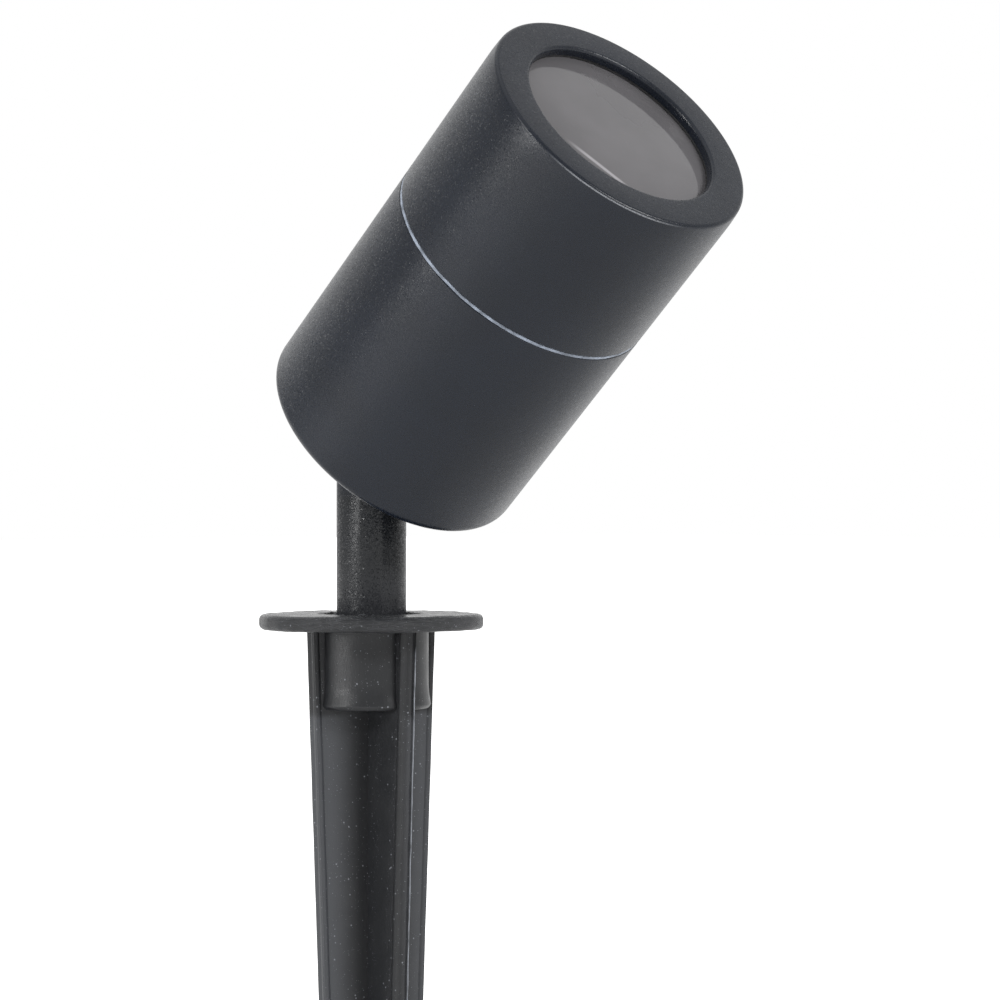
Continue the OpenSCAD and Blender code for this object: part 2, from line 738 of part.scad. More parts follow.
module lamp_driver() {
    color("#4d7d4a") in_head() {
        translate([-driver_t / 2, -driver_w / 2, base_top])
            cube([driver_t, driver_w, board_back - base_top]);
        translate([driver_t / 2, -choke_w / 2, base_top + choke_up]) cube([choke_t, choke_w, choke_w]);
        translate([capacitor_x, 0, base_top + capacitor_up]) cylinder(r = capacitor_r, h = capacitor_l);
        translate([capacitor_x, -capacitor_foot_w / 2, base_top + capacitor_up])
            cube([-capacitor_x, capacitor_foot_w, capacitor_foot_w]);
    }
}

module lamp_base() {
    color("#e6e5e0") in_head() difference() {
        union() {
            translate([0, 0, lamp_foot + base_nose_l])
                cylinder(r1 = base_r, r2 = shell_foot_r, h = base_l - base_nose_l);
            translate([0, 0, lamp_foot]) cylinder(r = base_nose_r, h = base_nose_l);
        }
        for (s = [-1, 1]) translate([s * pin_pitch / 2, 0, lamp_foot - 1])
            cylinder(r = pin_d / 2 + set_gap, h = 5, $fn = 48);
    }
}

module lamp_pins() {
    color("#c9ccd0") in_head() for (s = [-1, 1]) translate([s * pin_pitch / 2, 0, pin_end]) {
        cylinder(r = pin_head_d / 2, h = pin_l - pin_shank_l, $fn = 48);
        cylinder(r = pin_d / 2, h = pin_l + 4, $fn = 48);
    }
}

ground_spike();
socket_adaptor();
adaptor_bolt();
adaptor_washer();
stem();
tilt_screw();
tilt_nut();
tilt_washers();
tilt_lug();
lug_seal();
lug_nut();
rear_housing();
seam_gasket();
cord_gland();
gland_seal();
gland_cap();
gland_locknut();
lamp_bracket();
bracket_screws();
lampholder();
lampholder_contacts();
lampholder_screws();
terminal_block();
terminal_screws();
earth_screw();
live_lead();
neutral_lead();
earth_lead();
lens_glass();
lens_gasket();
front_bezel();
lamp_shell();
lamp_diffuser();
lamp_base();
lamp_pins();
lamp_board();
lamp_leds();
lamp_driver();
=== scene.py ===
import json
import math

import bmesh
import bpy
from mathutils import Matrix, Vector, noise


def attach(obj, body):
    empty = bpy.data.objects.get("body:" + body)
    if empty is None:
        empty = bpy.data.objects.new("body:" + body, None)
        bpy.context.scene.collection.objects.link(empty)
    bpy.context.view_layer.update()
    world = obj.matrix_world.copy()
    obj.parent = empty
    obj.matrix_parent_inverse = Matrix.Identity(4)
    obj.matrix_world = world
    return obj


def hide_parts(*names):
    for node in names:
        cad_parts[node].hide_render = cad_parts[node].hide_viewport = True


bl_info = {
    "name": "Garden spike spotlight",
    "version": (1, 0, 0),
    "blender": (4, 5, 0),
    "location": "3D View > Sidebar > Spotlight",
    "description": "Dresses the packed frame of a garden spike spotlight and sets its stage",
    "category": "Add Mesh",
}

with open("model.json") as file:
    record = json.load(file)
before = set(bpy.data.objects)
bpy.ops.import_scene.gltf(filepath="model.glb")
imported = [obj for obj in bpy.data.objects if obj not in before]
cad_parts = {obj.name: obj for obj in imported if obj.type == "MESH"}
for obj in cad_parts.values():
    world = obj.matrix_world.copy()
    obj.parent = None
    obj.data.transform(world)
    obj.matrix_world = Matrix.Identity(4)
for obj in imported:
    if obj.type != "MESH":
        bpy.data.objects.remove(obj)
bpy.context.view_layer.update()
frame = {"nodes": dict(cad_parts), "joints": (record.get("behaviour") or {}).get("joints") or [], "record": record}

MM = 0.001
JOINTS = {joint["name"]: joint for joint in frame["joints"]}
PIVOT = Vector(JOINTS["head_tilt"]["pos_m"])
HEAD_AXIS = Vector(JOINTS["bezel_turn"]["axis"]).normalized()
HEAD = (Matrix.Translation(PIVOT)
        @ Vector((0, 0, 1)).rotation_difference(HEAD_AXIS).to_matrix().to_4x4())


def measure(node, place=Matrix.Identity(4)):
    """Least and greatest height and least and greatest radius of a CAD node about a frame's Z."""
    inverse = place.inverted()
    points = [inverse @ vertex.co for vertex in frame["nodes"][node].data.vertices]
    heights = [point.z for point in points]
    radii = [math.hypot(point.x, point.y) for point in points]
    return min(heights), max(heights), min(radii), max(radii)


def middle(node, place):
    """Centre of a CAD node's box in a frame."""
    inverse = place.inverted()
    points = [inverse @ vertex.co for vertex in frame["nodes"][node].data.vertices]
    return Vector([(min(part) + max(part)) / 2 for part in zip(*points)])


BEZEL_BACK, FACE, OPENING_R, HEAD_R = measure("front_bezel", HEAD)
HEAD_BACK, NECK_END, _, _ = measure("rear_housing", HEAD)
SEAL_LOW, SEAL_HIGH, NECK_R, _ = measure("seam_gasket", HEAD)
RUBBER_BACK, RUBBER_FRONT, FLAP_R, RUBBER_R = measure("lens_gasket", HEAD)
GLASS_BACK, GLASS_FRONT, _, GLASS_R = measure("lens_glass", HEAD)
TIP, DISC_TOP, _, DISC_R = measure("ground_spike")
FLOOR_OF_HEAD = measure("lug_seal", HEAD)[0]

# The camera, from the fit of the outlines to the photograph
CAMERA_PLACE = Vector((-0.4659, -0.5417, 0.0284))
CAMERA_AHEAD = Vector((0.6816, 0.7317, 0)).normalized()
CAMERA_RIGHT = Vector((0.7317, -0.6816, 0)).normalized()
CAMERA_FOCAL_PX = 3240.4
PHOTO_PX = 1000

# Two ways square to the head's axis, and the middle of the painted caustic, a bright crescent of light painted on
# its glass
GLASS_ACROSS = (-CAMERA_AHEAD + HEAD_AXIS * CAMERA_AHEAD.dot(HEAD_AXIS)).normalized()
GLASS_ALONG = HEAD_AXIS.cross(GLASS_ACROSS)
GLASS_CAUSTIC = (PIVOT + HEAD_AXIS * GLASS_FRONT
              + GLASS_ACROSS * 15.7 * MM + GLASS_ALONG * 2.4 * MM)

# The post below the head: how high it shows, and its radius
POST_TOP = 28 * MM
POST_R = 7.7 * MM

# Housing and its neck, in millimetres
HOUSING_WALL = 2.6
NECK_WALL = 1.6
LUG_HOLE_R = 5.05
GLAND_HOLE_R = 6.05

# Disc, boss and socket of the spike, in millimetres
SOCKET_R = 11.0
SOCKET_LEDGE = -5.5
BOSS_R = 12.6
BOSS_LIP = -16.6
BOSS_LOW = -17.4
BOSS_INSIDE = -15.8

# Blades, in millimetres and degrees: the straight section is drawn in to the taper afterwards
BLADE_TURN = -11.6
BLADE_TOP = 0.6
BLADE_ROOT = 2.4
BLADE_REACH = 15.3
BLADE_LOW = 11.7
POINT_START = -100.0
POINT_R = 1.2
BEAD_NECK = 0.9
LEVEL_STEP = 1.6
POINT_STEP = 2.0
FRONT_LEAN = 0.75
LEAN_END = 110.0

# Light: what the surroundings give to matt surfaces, and what mirrors see behind the camera
WORLD_LIGHT = 0.75
FRONT_LIGHT = 0.48
FLOOR_MIRRORED = 0.4
LAMP_TARGET = Vector((0, -0.02, 0.03))
# name, place (right, up and ahead of the camera's view), distance, watts, width, height
LAMPS = (
    ("left_box", (-0.60, 0.42, -0.68), 1.0, 2.8, 0.12, 0.12),
    ("left_panel", (-0.86, 0.05, -0.51), 1.0, 2.4, 0.55, 0.10),
    ("right_panel", (0.75, 0.42, -0.51), 1.0, 5.0, 0.45, 0.16),
    ("top_box", (-0.2, 1.0, -0.2), 1.6, 5.0, 1.6, 1.6))

SLOTS = {part["node"]: part["material_slot"] for part in frame["record"]["subparts"]}
# piece, the CAD node that it stands for, width of its rounded edges in millimetres
HARDWARE = (
    ("stem_post", "stem", 0.25), ("tilt_tongue", "tilt_lug", 0.3),
    ("post_plug", "socket_adaptor", 0.3), ("plug_bolt", "adaptor_bolt", 0.2),
    ("plug_washer", "adaptor_washer", 0.12), ("pivot_screw", "tilt_screw", 0.2),
    ("pivot_nut", "tilt_nut", 0.2), ("pivot_washers", "tilt_washers", 0.08),
    ("tongue_seal", "lug_seal", 0.15), ("tongue_nut", "lug_nut", 0.2),
    ("gland_body", "cord_gland", 0.2), ("gland_grommet", "gland_seal", 0.2),
    ("gland_dome", "gland_cap", 0.3), ("gland_nut", "gland_locknut", 0.2),
    ("holder_bracket", "lamp_bracket", 0.12), ("bracket_bolts", "bracket_screws", 0.12),
    ("lamp_socket", "lampholder", 0.35), ("socket_springs", "lampholder_contacts", 0.06),
    ("socket_screws", "lampholder_screws", 0.1), ("terminal_body", "terminal_block", 0.25),
    ("terminal_bolts", "terminal_screws", 0.08), ("earth_bolt", "earth_screw", 0.12),
    ("lamp_body", "lamp_shell", 0.25), ("lamp_lens", "lamp_diffuser", 0.3),
    ("lamp_foot", "lamp_base", 0.3), ("lamp_studs", "lamp_pins", 0.12),
    ("light_board", "lamp_board", 0.1), ("light_chips", "lamp_leds", 0.1),
    ("driver_board", "lamp_driver", 0.08))
BODY_OF = {node: body for body, nodes in frame["record"]["behaviour"]["bodies"].items()
           for node in nodes}
FINISHES = {}


# Shader maths

class Wire:
    """A node's output, which takes part in expressions."""

    def __init__(self, finish, socket):
        self.finish = finish
        self.socket = socket

    def maths(self, operation, *others):
        values = dict(enumerate((self,) + others))
        return self.finish.add("ShaderNodeMath", {"operation": operation}, values)

    def __add__(self, other):
        return self.maths("ADD", other)

    def __sub__(self, other):
        return self.maths("SUBTRACT", other)

    def __rsub__(self, other):
        return self.finish.add("ShaderNodeMath", {"operation": "SUBTRACT"}, {0: other, 1: self})

    def __mul__(self, other):
        return self.maths("MULTIPLY", other)

    def __abs__(self):
        return self.maths("ABSOLUTE")

    def most(self, other):
        return self.maths("MAXIMUM", other)

    __radd__ = __add__
    __rmul__ = __mul__


class Finish:
    """Builds the nodes of one surface finish."""

    def __init__(self, name, tree=None):
        if tree is None:
            self.material = bpy.data.materials.new(name)
            self.material.use_nodes = True
            tree = self.material.node_tree
        self.tree = tree
        self.tree.nodes.clear()
        self.place = None

    def add(self, kind, settings=None, values=None, output=0):
        """Adds a node, first its settings, then the values or links of its sockets."""
        node = self.tree.nodes.new(kind)
        for key, value in (settings or {}).items():
            setattr(node, key, value)
        for key, value in (values or {}).items():
            if isinstance(value, Wire):
                self.tree.links.new(value.socket, node.inputs[key])
            else:
                node.inputs[key].default_value = value
        return Wire(self, node.outputs[output]) if node.outputs else node

    def vector(self, operation, first, second=None, output=0):
        """Vector maths on one or two vectors."""
        values = {0: first} if second is None else {0: first, 1: second}
        return self.add("ShaderNodeVectorMath", {"operation": operation}, values, output)

    @property
    def point(self):
        """Object coordinates."""
        if self.place is None:
            self.place = self.add("ShaderNodeTexCoord", output="Object")
        return self.place

    def along(self, way, start=(0, 0, 0)):
        """How far the point lies along a way from a start."""
        away = self.vector("SUBTRACT", self.point, start)
        return self.vector("DOT_PRODUCT", away, way, "Value")

    def stretched(self, scale, turn=(0, 0, 0)):
        """Object coordinates turned and scaled."""
        return self.add("ShaderNodeMapping", {"vector_type": "POINT"},
                        {"Vector": self.point, "Rotation": turn, "Scale": scale})

    def clouds(self, scale, detail, roughness, at=None, distortion=0.0):
        """Soft noise with scale features per metre."""
        return self.add("ShaderNodeTexNoise", None,
                        {"Vector": at or self.point, "Scale": scale, "Detail": detail,
                         "Roughness": roughness, "Distortion": distortion})

    def cells(self, scale, at=None, output="Distance"):
        """Cells, scale of them per metre: the distance from each middle, or its random colour."""
        return self.add("ShaderNodeTexVoronoi", None,
                        {"Vector": at or self.point, "Scale": scale}, output)

    def step(self, value, low, high):
        """0 below low, 1 above high, smooth between them."""
        return self.add("ShaderNodeMapRange", {"interpolation_type": "SMOOTHSTEP"},
                        {"Value": value, "From Min": low, "From Max": high})

    def fall(self, value, low, high):
        """1 below low, 0 above high, smooth between them."""
        return 1 - self.step(value, low, high)

    def mixed(self, factor, first, second):
        """Colour between two colours."""
        return self.add("ShaderNodeMix", {"data_type": "RGBA"},
                        {0: factor, 6: opaque(first), 7: opaque(second)}, 2)

    def bump(self, height, distance, strength=1.0):
        return self.add("ShaderNodeBump", None,
                        {"Height": height, "Distance": distance, "Strength": strength})

    def faceted(self, normal, facet, tilt):
        """Normal tilted in a random way in each cell, whose colour gives the way."""
        way = self.vector("SUBTRACT", facet, (0.5, 0.5, 0.5))
        way = self.add("ShaderNodeVectorMath", {"operation": "SCALE"}, {0: way, "Scale": tilt})
        return self.vector("NORMALIZE", self.vector("ADD", normal, way))

    def surface(self, **sockets):
        """Principled surface; a name such as Base_Color stands for its socket."""
        values = {key.replace("_", " "): value for key, value in sockets.items()}
        shader = self.add("ShaderNodeBsdfPrincipled", None, values)
        self.add("ShaderNodeOutputMaterial", None, {"Surface": shader})
        return self.material


def opaque(colour):
    """A colour with its alpha, from three numbers or a wire."""
    return colour if isinstance(colour, Wire) else tuple(colour) + (1.0,)


def tinted(colour, factor):
    """A colour made darker or lighter."""
    return tuple(part * factor for part in colour)


# Finishes

def powder_coat(colour):
    """Satin powder coat: orange peel and a fine grain whose facets glint one by one.

    The post has a paler tone of the coat as painted light, and its foot is paler still with dust and
    painted light reflected from the disc. The coat is coarser on one side of the head, and a stretch
    of the bezel's front edge carries a painted highlight.
    """
    f = Finish("powder_coat")
    peel = f.clouds(420, 2, 0.5)
    fine = f.clouds(5200, 3, 0.6)
    facet = f.cells(4300, output="Color")
    chance = f.add("ShaderNodeTexWhiteNoise", {"noise_dimensions": "3D"}, {"Vector": facet})
    glint = f.step(chance, 0.5, 1.0)

    up = f.along((0, 0, 1))
    off_axis = f.vector("LENGTH", f.vector("MULTIPLY", f.point, (1, 1, 0)), None, "Value")
    post = (f.fall(up, POST_TOP, POST_TOP + 4 * MM)
            * f.fall(off_axis, POST_R, POST_R + 0.4 * MM))
    # Paler speckle at the post's foot: partly dust, partly painted light standing in for light reflected up from
    # the disc.
    dust = post * f.fall(up, DISC_TOP, DISC_TOP + 12 * MM) * f.step(fine, 0.35, 0.65)

    height, side = f.along(HEAD_AXIS, PIVOT), f.along(GLASS_ALONG, PIVOT)
    coarse = f.fall(side, -21 * MM, -11 * MM) * f.fall(height, FACE - 2 * MM, FACE - 1 * MM)
    # Painted highlight: a pale band on the bezel's front edge, on its near side, stands in for light caught by the
    # rounded edge.
    edge = (f.step(height, FACE - 0.70 * MM, FACE - 0.55 * MM)
            * f.fall(height, FACE - 0.45 * MM, FACE - 0.30 * MM))
    near = f.step(f.along(GLASS_ACROSS, PIVOT), 10 * MM, 12 * MM)
    edge_highlight = edge * near * f.step(side, -9 * MM, 2 * MM) * f.fall(side, 16 * MM, 24 * MM)

    blotch = f.step(f.clouds(60, 3, 0.55), 0.3, 0.7)
    tone = f.mixed(blotch, tinted(colour, 0.9), tinted(colour, 1.12))
    # The post takes a paler tone of the same coat: painted light.
    tone = f.mixed(post, tone, (0.0112, 0.0124, 0.0146))
    # Dust and painted light at the post's foot.
    tone = f.mixed(dust, tone, (0.036, 0.037, 0.041))
    # Painted highlight on the bezel's front edge.
    tone = f.mixed(edge_highlight * f.step(fine, 0.3, 0.5) * 0.6, tone, (0.32, 0.33, 0.35))
    tilt = glint * (coarse * 0.34 + 0.13) + post * chance * 0.4 + 0.015
    return f.surface(
        Base_Color=tone,
        Roughness=f.step(fine, 0.3, 0.75) * 0.06 + 0.3 - glint * 0.1 - post * chance * 0.06,
        Specular_IOR_Level=0.34,
        Normal=f.faceted(f.bump(fine * 0.6 + peel * 1.2, 0.00003), facet, tilt))


def spike_plastic(colour):
    """Moulded plastic: flow marks, mottling, dusty specks, a scuffed rim and pale worn edges.

    The blades carry painted shade in their inner corners and painted light towards their outer edges to
    the left and right; the disc's edge and the boss beneath the disc are painted darker as shade.
    """
    f = Finish("spike_plastic")
    flow = f.clouds(420, 3, 0.6, f.stretched((1, 1, 0.06)))
    mottle = f.clouds(220, 4, 0.6)
    grain = f.clouds(3600, 2, 0.5)
    speck = 0
    for scale, share in ((620, 0.55), (1150, 0.65), (2100, 0.6)):
        seed = f.add("ShaderNodeSeparateColor", None, {"Color": f.cells(scale, output="Color")})
        speck = f.step(seed, share, share + 0.02) * f.fall(f.cells(scale), 0.05, 0.16) + speck

    up, side = f.along((0, 0, 1)), f.along(CAMERA_RIGHT)
    disc = f.step(up, -0.2 * MM, 0.3 * MM)
    top = f.step(up, DISC_TOP - 0.5 * MM, DISC_TOP - 0.3 * MM)
    below = f.fall(up, -19.5 * MM, -17.5 * MM)
    # Mask for painted light and shade on the blades: lighter towards their outer edges left and right, darker
    # towards the middle.
    outer = f.step(side * -1, 2.2 * MM, 9 * MM).most(f.step(side, 6 * MM, 11 * MM))
    marks = f.clouds(300, 5, 0.7, f.stretched((1, 1, 6)), 1.5)
    scuff = disc * f.step(marks, 0.5, 0.62)
    worn = f.add("ShaderNodeAttribute", {"attribute_name": "worn"}, None, "Fac")

    tone = f.mixed(f.step(mottle, 0.3, 0.7), tinted(colour, 0.82), tinted(colour, 1.2))
    tone = f.mixed(f.step(flow, 0.45, 0.75) * 0.35, tone, tinted(colour, 1.5))
    # Painted shade in the blades' inner corners, painted light towards their outer edges.
    tone = f.mixed(below, tone, f.mixed(outer, tinted(colour, 0.6), tinted(colour, 2.0)))
    # Painted shade: the disc's edge below its top is darker.
    tone = f.mixed(disc * (1 - top) * 0.5, tone, tinted(colour, 0.4))
    # Painted shade on the boss and the blades' tops under the disc.
    tone = f.mixed((1 - below) * (1 - disc), tone, tinted(colour, 0.6))
    tone = f.mixed(scuff * 0.3, tone, tinted(colour, 2.2))
    tone = f.mixed(speck * 0.6, tone, tinted(colour, 11.0))
    tone = f.mixed(worn * f.step(mottle, 0.2, 0.6), tone, tinted(colour, 11.0))
    height = flow * 0.5 + mottle * 0.8 + grain * 0.3 + speck * 0.5 + disc * marks * 4.0
    return f.surface(
        Base_Color=tone,
        Roughness=f.step(mottle, 0.3, 0.7) * 0.12 + 0.28 + scuff * 0.12 - top * 0.1,
        Specular_IOR_Level=0.38,
        Normal=f.bump(height, 0.00009, 0.85))


def black_plastic(colour):
    """Moulded satin plastic with a fine spark-eroded grain."""
    f = Finish("black_plastic")
    grain = f.clouds(2600, 3, 0.6)
    mottle = f.clouds(180, 3, 0.5)
    tone = f.mixed(f.step(mottle, 0.35, 0.7), tinted(colour, 0.85), tinted(colour, 1.2))
    return f.surface(Base_Color=tone, Roughness=grain * 0.2 + 0.34,
                     Normal=f.bump(grain + mottle * 0.6, 0.00003, 0.8))


def black_rubber(colour):
    """Matt rubber with pores and a dusty bloom."""
    f = Finish("black_rubber")
    pores = f.cells(2400)
    bloom = f.clouds(140, 4, 0.6)
    tone = f.mixed(f.step(bloom, 0.4, 0.75), colour, tinted(colour, 1.9))
    return f.surface(Base_Color=tone, Roughness=bloom * 0.2 + 0.52,
                     Normal=f.bump(pores * 0.5 + bloom, 0.00003, 0.8))


def pale_silicone(colour):
    """Soft pale gasket with wet-looking patches and small tears."""
    f = Finish("pale_silicone")
    patches = f.clouds(260, 3, 0.6)
    tears = f.cells(900)
    tone = f.mixed(f.step(patches, 0.35, 0.65), tinted(colour, 0.42), colour)
    return f.surface(Base_Color=tone, Roughness=patches * 0.25 + 0.3,
                     Normal=f.bump(patches + tears * 0.4, 0.00012, 0.9))


def clear_glass(colour):
    """Glass with a satin back: its front is polished, with haze, fine rub marks and a painted caustic, a bright
    crescent of light.
    """
    f = Finish("clear_glass")
    haze = f.clouds(70, 3, 0.5)
    rubs = f.clouds(900, 2, 0.5, f.stretched((1, 0.08, 0.3), (0.3, 0.2, 0.7)))
    tone = f.mixed(f.step(haze, 0.3, 0.7), tinted(colour, 0.96), tinted(colour, 1.05))
    tone = f.mixed(f.step(rubs, 0.68, 0.76) * 0.1, tone, tinted(colour, 1.5))
    # Painted caustic: a bright crescent of light painted into the glass's colour near its rim.
    across = f.fall(abs(f.along(GLASS_ACROSS, GLASS_CAUSTIC)), 0.2 * MM, 0.8 * MM)
    along = f.fall(abs(f.along(GLASS_ALONG, GLASS_CAUSTIC)), 3 * MM, 9.5 * MM)
    tone = f.mixed(across * along * 0.85, tone, tinted(colour, 3.2))
    return f.surface(Base_Color=tone, Roughness=f.step(rubs, 0.5, 0.8) * 0.05 + 0.035,
                     Alpha=haze * 0.1 + 0.8, IOR=1.5)


def metal(name, colour, roughness, brushed=0.0):
    """Plated or bare metal: drawn marks, dull patches and fine scratches."""
    f = Finish(name)
    lines = f.clouds(1500, 3, 0.6, f.stretched((1, 1, 0.05)))
    patches = f.clouds(260, 4, 0.6)
    spots = f.cells(1100)
    tone = f.mixed(f.step(patches, 0.3, 0.75), tinted(colour, 0.78), colour)
    return f.surface(
        Base_Color=tone, Metallic=1.0,
        Roughness=patches * 0.2 + lines * (0.1 + brushed) + (roughness - 0.15),
        Normal=f.bump(lines * (0.2 + brushed) + patches * 0.5 + spots * 0.1, 0.00003, 0.6))


def pale_plastic(name, colour, roughness=0.4):
    """Pale moulded plastic with slight yellowing and a fine grain."""
    f = Finish(name)
    clouds = f.clouds(90, 3, 0.5)
    grain = f.clouds(2400, 2, 0.5)
    tone = f.mixed(f.step(clouds, 0.3, 0.7), tinted(colour, 0.93), colour)
    return f.surface(Base_Color=tone, Roughness=grain * 0.15 + (roughness - 0.07),
                     Normal=f.bump(grain + clouds, 0.00002, 0.7))


def holder_ceramic(colour):
    """Unglazed ceramic: chalky, with dark grains and pits."""
    f = Finish("holder_ceramic")
    pits = f.cells(1300)
    chalk = f.clouds(420, 4, 0.65)
    dots = f.step(f.cells(700), 0.06, 0.1)
    tone = f.mixed(f.step(chalk, 0.3, 0.7), tinted(colour, 0.84), colour)
    tone = f.mixed(dots, tinted(colour, 0.45), tone)
    return f.surface(Base_Color=tone, Roughness=chalk * 0.2 + 0.65,
                     Normal=f.bump(chalk + pits * 0.5, 0.00006, 0.8))


def circuit_board(colour):
    """Lacquered board with copper tracks under the lacquer and tinned pads."""
    f = Finish("circuit_board")
    tracks = f.step(f.clouds(420, 1, 0.4, f.stretched((1, 1, 0.2))), 0.5, 0.53)
    pads = f.fall(f.cells(330), 0.12, 0.16)
    tone = f.mixed(tracks, colour, tinted(colour, 1.7))
    tone = f.mixed(pads, tone, (0.62, 0.62, 0.6))
    weave = f.clouds(2600, 2, 0.5)
    return f.surface(Base_Color=tone, Roughness=weave * 0.15 + 0.22, Metallic=pads * 0.8,
                     Normal=f.bump(tracks * 0.5 + weave * 0.2, 0.00004, 0.7))


def phosphor(colour):
    """Phosphor cast in silicone: grainy, with paler rims of the cells."""
    f = Finish("led_yellow")
    grains = f.clouds(2600, 3, 0.6)
    tone = f.mixed(f.step(grains, 0.35, 0.7), tinted(colour, 0.86), tinted(colour, 1.1))
    return f.surface(Base_Color=tone, Roughness=grains * 0.2 + 0.25,
                     Normal=f.bump(grains, 0.00003, 0.7))


def sleeve(name, colour):
    """Silicone sleeve over a lead, with a braided print and dust."""
    f = Finish(name)
    braid = f.cells(1900, f.stretched((1, 1, 0.5), (0.6, 0, 0.8)))
    dust = f.clouds(300, 3, 0.6)
    tone = f.mixed(f.step(dust, 0.4, 0.75) * 0.4, colour, tinted(colour, 1.7))
    return f.surface(Base_Color=tone, Roughness=dust * 0.15 + 0.45,
                     Normal=f.bump(braid, 0.00005, 0.7))


def ray_kinds(f):
    """Two wires: 1 for a camera ray, and 1 for a glossy or transmission ray."""
    seen, glossy, through = [f.add("ShaderNodeLightPath", output=name) for name in (
        "Is Camera Ray", "Is Glossy Ray", "Is Transmission Ray")]
    return seen, glossy.most(through)


# Mesh tools

def outline(bm, corners, segments=6):
    """Closed half outline in the XZ plane from (radius, height, rounding) corners."""
    points = [bm.verts.new((radius, 0, height)) for radius, height, _ in corners]
    for first, second in zip(points, points[1:] + points[:1]):
        bm.edges.new((first, second))
    for rounding in sorted({corner[2] for corner in corners} - {0}):
        group = [point for point, corner in zip(points, corners) if corner[2] == rounding]
        bmesh.ops.bevel(bm, geom=group, offset=rounding, offset_type="OFFSET", segments=segments,
                        profile=0.5, affect="VERTICES", material=-1)


def spun(corners, steps=192, segments=6, scale=MM, place=None):
    """Round body from the corners of its half outline in millimetres, put where place says."""
    bm = bmesh.new()
    outline(bm, corners, segments)
    bmesh.ops.spin(bm, geom=bm.verts[:] + bm.edges[:], cent=(0, 0, 0), axis=(0, 0, 1),
                   angle=math.tau, steps=steps, use_merge=True)
    bmesh.ops.remove_doubles(bm, verts=bm.verts, dist=0.0005)
    loose = [edge for edge in bm.edges if not edge.link_faces]
    bmesh.ops.delete(bm, geom=loose, context="EDGES")
    bmesh.ops.recalc_face_normals(bm, faces=bm.faces)
    bmesh.ops.scale(bm, vec=(scale, scale, scale), verts=bm.verts)
    if place is not None:
        bmesh.ops.transform(bm, matrix=place, verts=bm.verts)
    return bm


def softened(node, width):
    """Copy of a CAD node with its sharp edges rounded, the width in millimetres."""
    bm = bmesh.new()
    bm.from_mesh(frame["nodes"][node].data)
    bmesh.ops.remove_doubles(bm, verts=bm.verts, dist=0.002 * MM)
    bmesh.ops.dissolve_limit(bm, angle_limit=math.radians(0.5), verts=bm.verts, edges=bm.edges)
    edges = [edge for edge in bm.edges if edge.is_manifold
             and edge.calc_face_angle() > math.radians(30)]
    bmesh.ops.bevel(bm, geom=edges, offset=width * MM, offset_type="OFFSET", segments=2,
                    profile=0.5, affect="EDGES", clamp_overlap=True, material=-1)
    return bm


def merged(first, second, operation):
    """Boolean of two bmeshes, given back as one."""
    objects = []
    for number, bm in enumerate((first, second)):
        mesh = bpy.data.meshes.new(f"boolean_{number}")
        bm.to_mesh(mesh)
        bm.free()
        objects.append(bpy.data.objects.new(mesh.name, mesh))
        bpy.context.scene.collection.objects.link(objects[-1])
    modifier = objects[0].modifiers.new("boolean", "BOOLEAN")
    modifier.operation = operation
    modifier.solver = "MANIFOLD"
    modifier.object = objects[1]
    result = bmesh.new()
    result.from_object(objects[0], bpy.context.evaluated_depsgraph_get())
    for item in objects:
        mesh = item.data
        bpy.data.objects.remove(item)
        bpy.data.meshes.remove(mesh)
    bmesh.ops.remove_doubles(result, verts=result.verts, dist=0.001 * MM)
    return result


def piece(name, bm, body, slot, *nodes, sharp=38):
    """Makes a piece of a bmesh, shades it, hands it to its body and its slot's finish, and hides its CAD nodes."""
    mesh = bpy.data.meshes.new(name)
    bm.to_mesh(mesh)
    bm.free()
    mesh.shade_smooth()
    mesh.set_sharp_from_angle(angle=math.radians(sharp))
    made = bpy.data.objects.new(name, mesh)
    bpy.context.scene.collection.objects.link(made)
    mesh.materials.append(FINISHES[slot])
    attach(made, body)
    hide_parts(*nodes)


def rough(x, y, z, size, seed=0.0):
    """Smooth noise from -1 to 1 at a point in millimetres, with features of the given size."""
    return noise.noise(Vector((x / size + seed, y / size - seed, z / size + 0.37 * seed)))


# Properties

def length(name, description, default):
    """A size that a user would change."""
    return bpy.props.FloatProperty(name=name, description=description, default=default,
                                   unit="LENGTH", precision=5)


def tint(name, description, default):
    """A colour that a user would change."""
    return bpy.props.FloatVectorProperty(name=name, description=description, default=default,
                                         subtype="COLOR", size=3, min=0.0, max=1.0)


